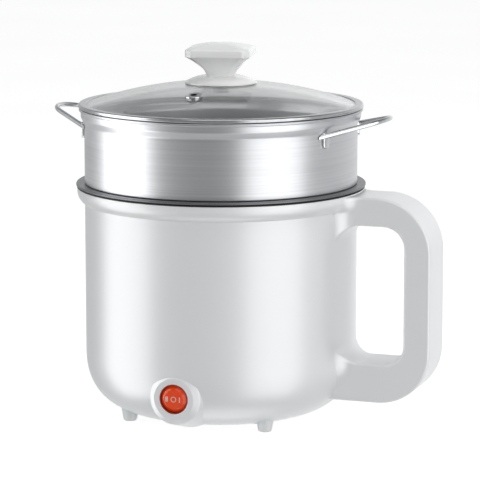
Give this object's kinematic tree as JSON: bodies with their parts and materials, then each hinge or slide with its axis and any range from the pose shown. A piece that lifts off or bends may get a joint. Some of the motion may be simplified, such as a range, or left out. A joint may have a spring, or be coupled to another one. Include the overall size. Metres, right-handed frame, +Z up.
{
  "type": "electric pot",
  "caption": "Round white electric cooking pot with a side loop handle, a front rocker switch, a lift-off steel steamer with wire handles and a loose glass lid with a knob.",
  "frame": {"origin": "on the table, under the middle of the part's bounding box", "axes": "+X towards the loop handle, -Y towards the switch at the front, +Z up"},
  "size_m": [0.2604, 0.188, 0.243],
  "materials": {
    "white_shell": "satin gloss",
    "white_knob": "gloss",
    "pale_foot": "matte",
    "orange_rocker": "gloss",
    "red_housing": "satin",
    "pot_coating": "non-stick satin",
    "black_rubber": "matte",
    "steamer_steel": "brushed round the axis",
    "bright_steel": "polished",
    "lid_glass": "clear",
    "cast_aluminium": "as cast",
    "plain_steel": "zinc plated",
    "brass_contact": "bare",
    "ceramic": "matte",
    "black_plastic": "matte",
    "brown_wire": "silicone",
    "red_wire": "silicone",
    "white_wire": "silicone",
    "blue_wire": "silicone",
    "green_wire": "silicone"
  },
  "bodies": {
    "pot": {"outer_shell": "white_shell", "handle_cover": "white_shell", "base_cover": "white_shell", "base_screws": "plain_steel", "foot_rear_right": "pale_foot", "foot_rear_left": "pale_foot", "foot_front_left": "pale_foot", "foot_front_right": "pale_foot", "inner_pot": "pot_coating", "rim_gasket": "black_rubber", "heating_plate": "cast_aluminium", "heating_element": "plain_steel", "element_pins": "brass_contact", "tie_posts": "plain_steel", "tie_screws": "plain_steel", "heat_shield": "plain_steel", "thermostat": "ceramic", "thermostat_tabs": "brass_contact", "thermostat_strap": "plain_steel", "strap_screws": "plain_steel", "thermal_fuse": "ceramic", "fuse_clip": "cast_aluminium", "switch_housing": "red_housing", "switch_nut": "black_plastic", "switch_tabs": "brass_contact", "power_inlet": "black_plastic", "inlet_pins": "brass_contact", "live_wire": "brown_wire", "high_heat_wire": "red_wire", "low_heat_wire": "white_wire", "heater_wire": "red_wire", "fuse_wire": "blue_wire", "neutral_wire": "blue_wire", "earth_wire": "green_wire"},
    "rocker": {"rocker": "orange_rocker"},
    "steamer": {"steamer_tray": "steamer_steel", "steamer_handle_right": "bright_steel", "steamer_handle_left": "bright_steel"},
    "lid": {"lid_glass": "lid_glass", "lid_band": "bright_steel", "vent_eyelet": "bright_steel", "knob": "white_knob", "knob_seal": "black_rubber", "knob_washer": "plain_steel", "knob_screw": "plain_steel"}
  },
  "joints": [
    {"name": "rocker_turn", "type": "hinge", "parent": "pot", "child": "rocker", "pos_m": [-0.0155, -0.0867, 0.0265], "axis": [0, 0, 1], "range_deg": [-10, 10]},
    {"name": "steamer_lift", "type": "slide", "parent": "pot", "child": "steamer", "axis": [0, 0, 1], "range_m": [0, 0.12]},
    {"name": "lid_lift", "type": "slide", "parent": "steamer", "child": "lid", "axis": [0, 0, 1], "range_m": [0, 0.1]}
  ]
}
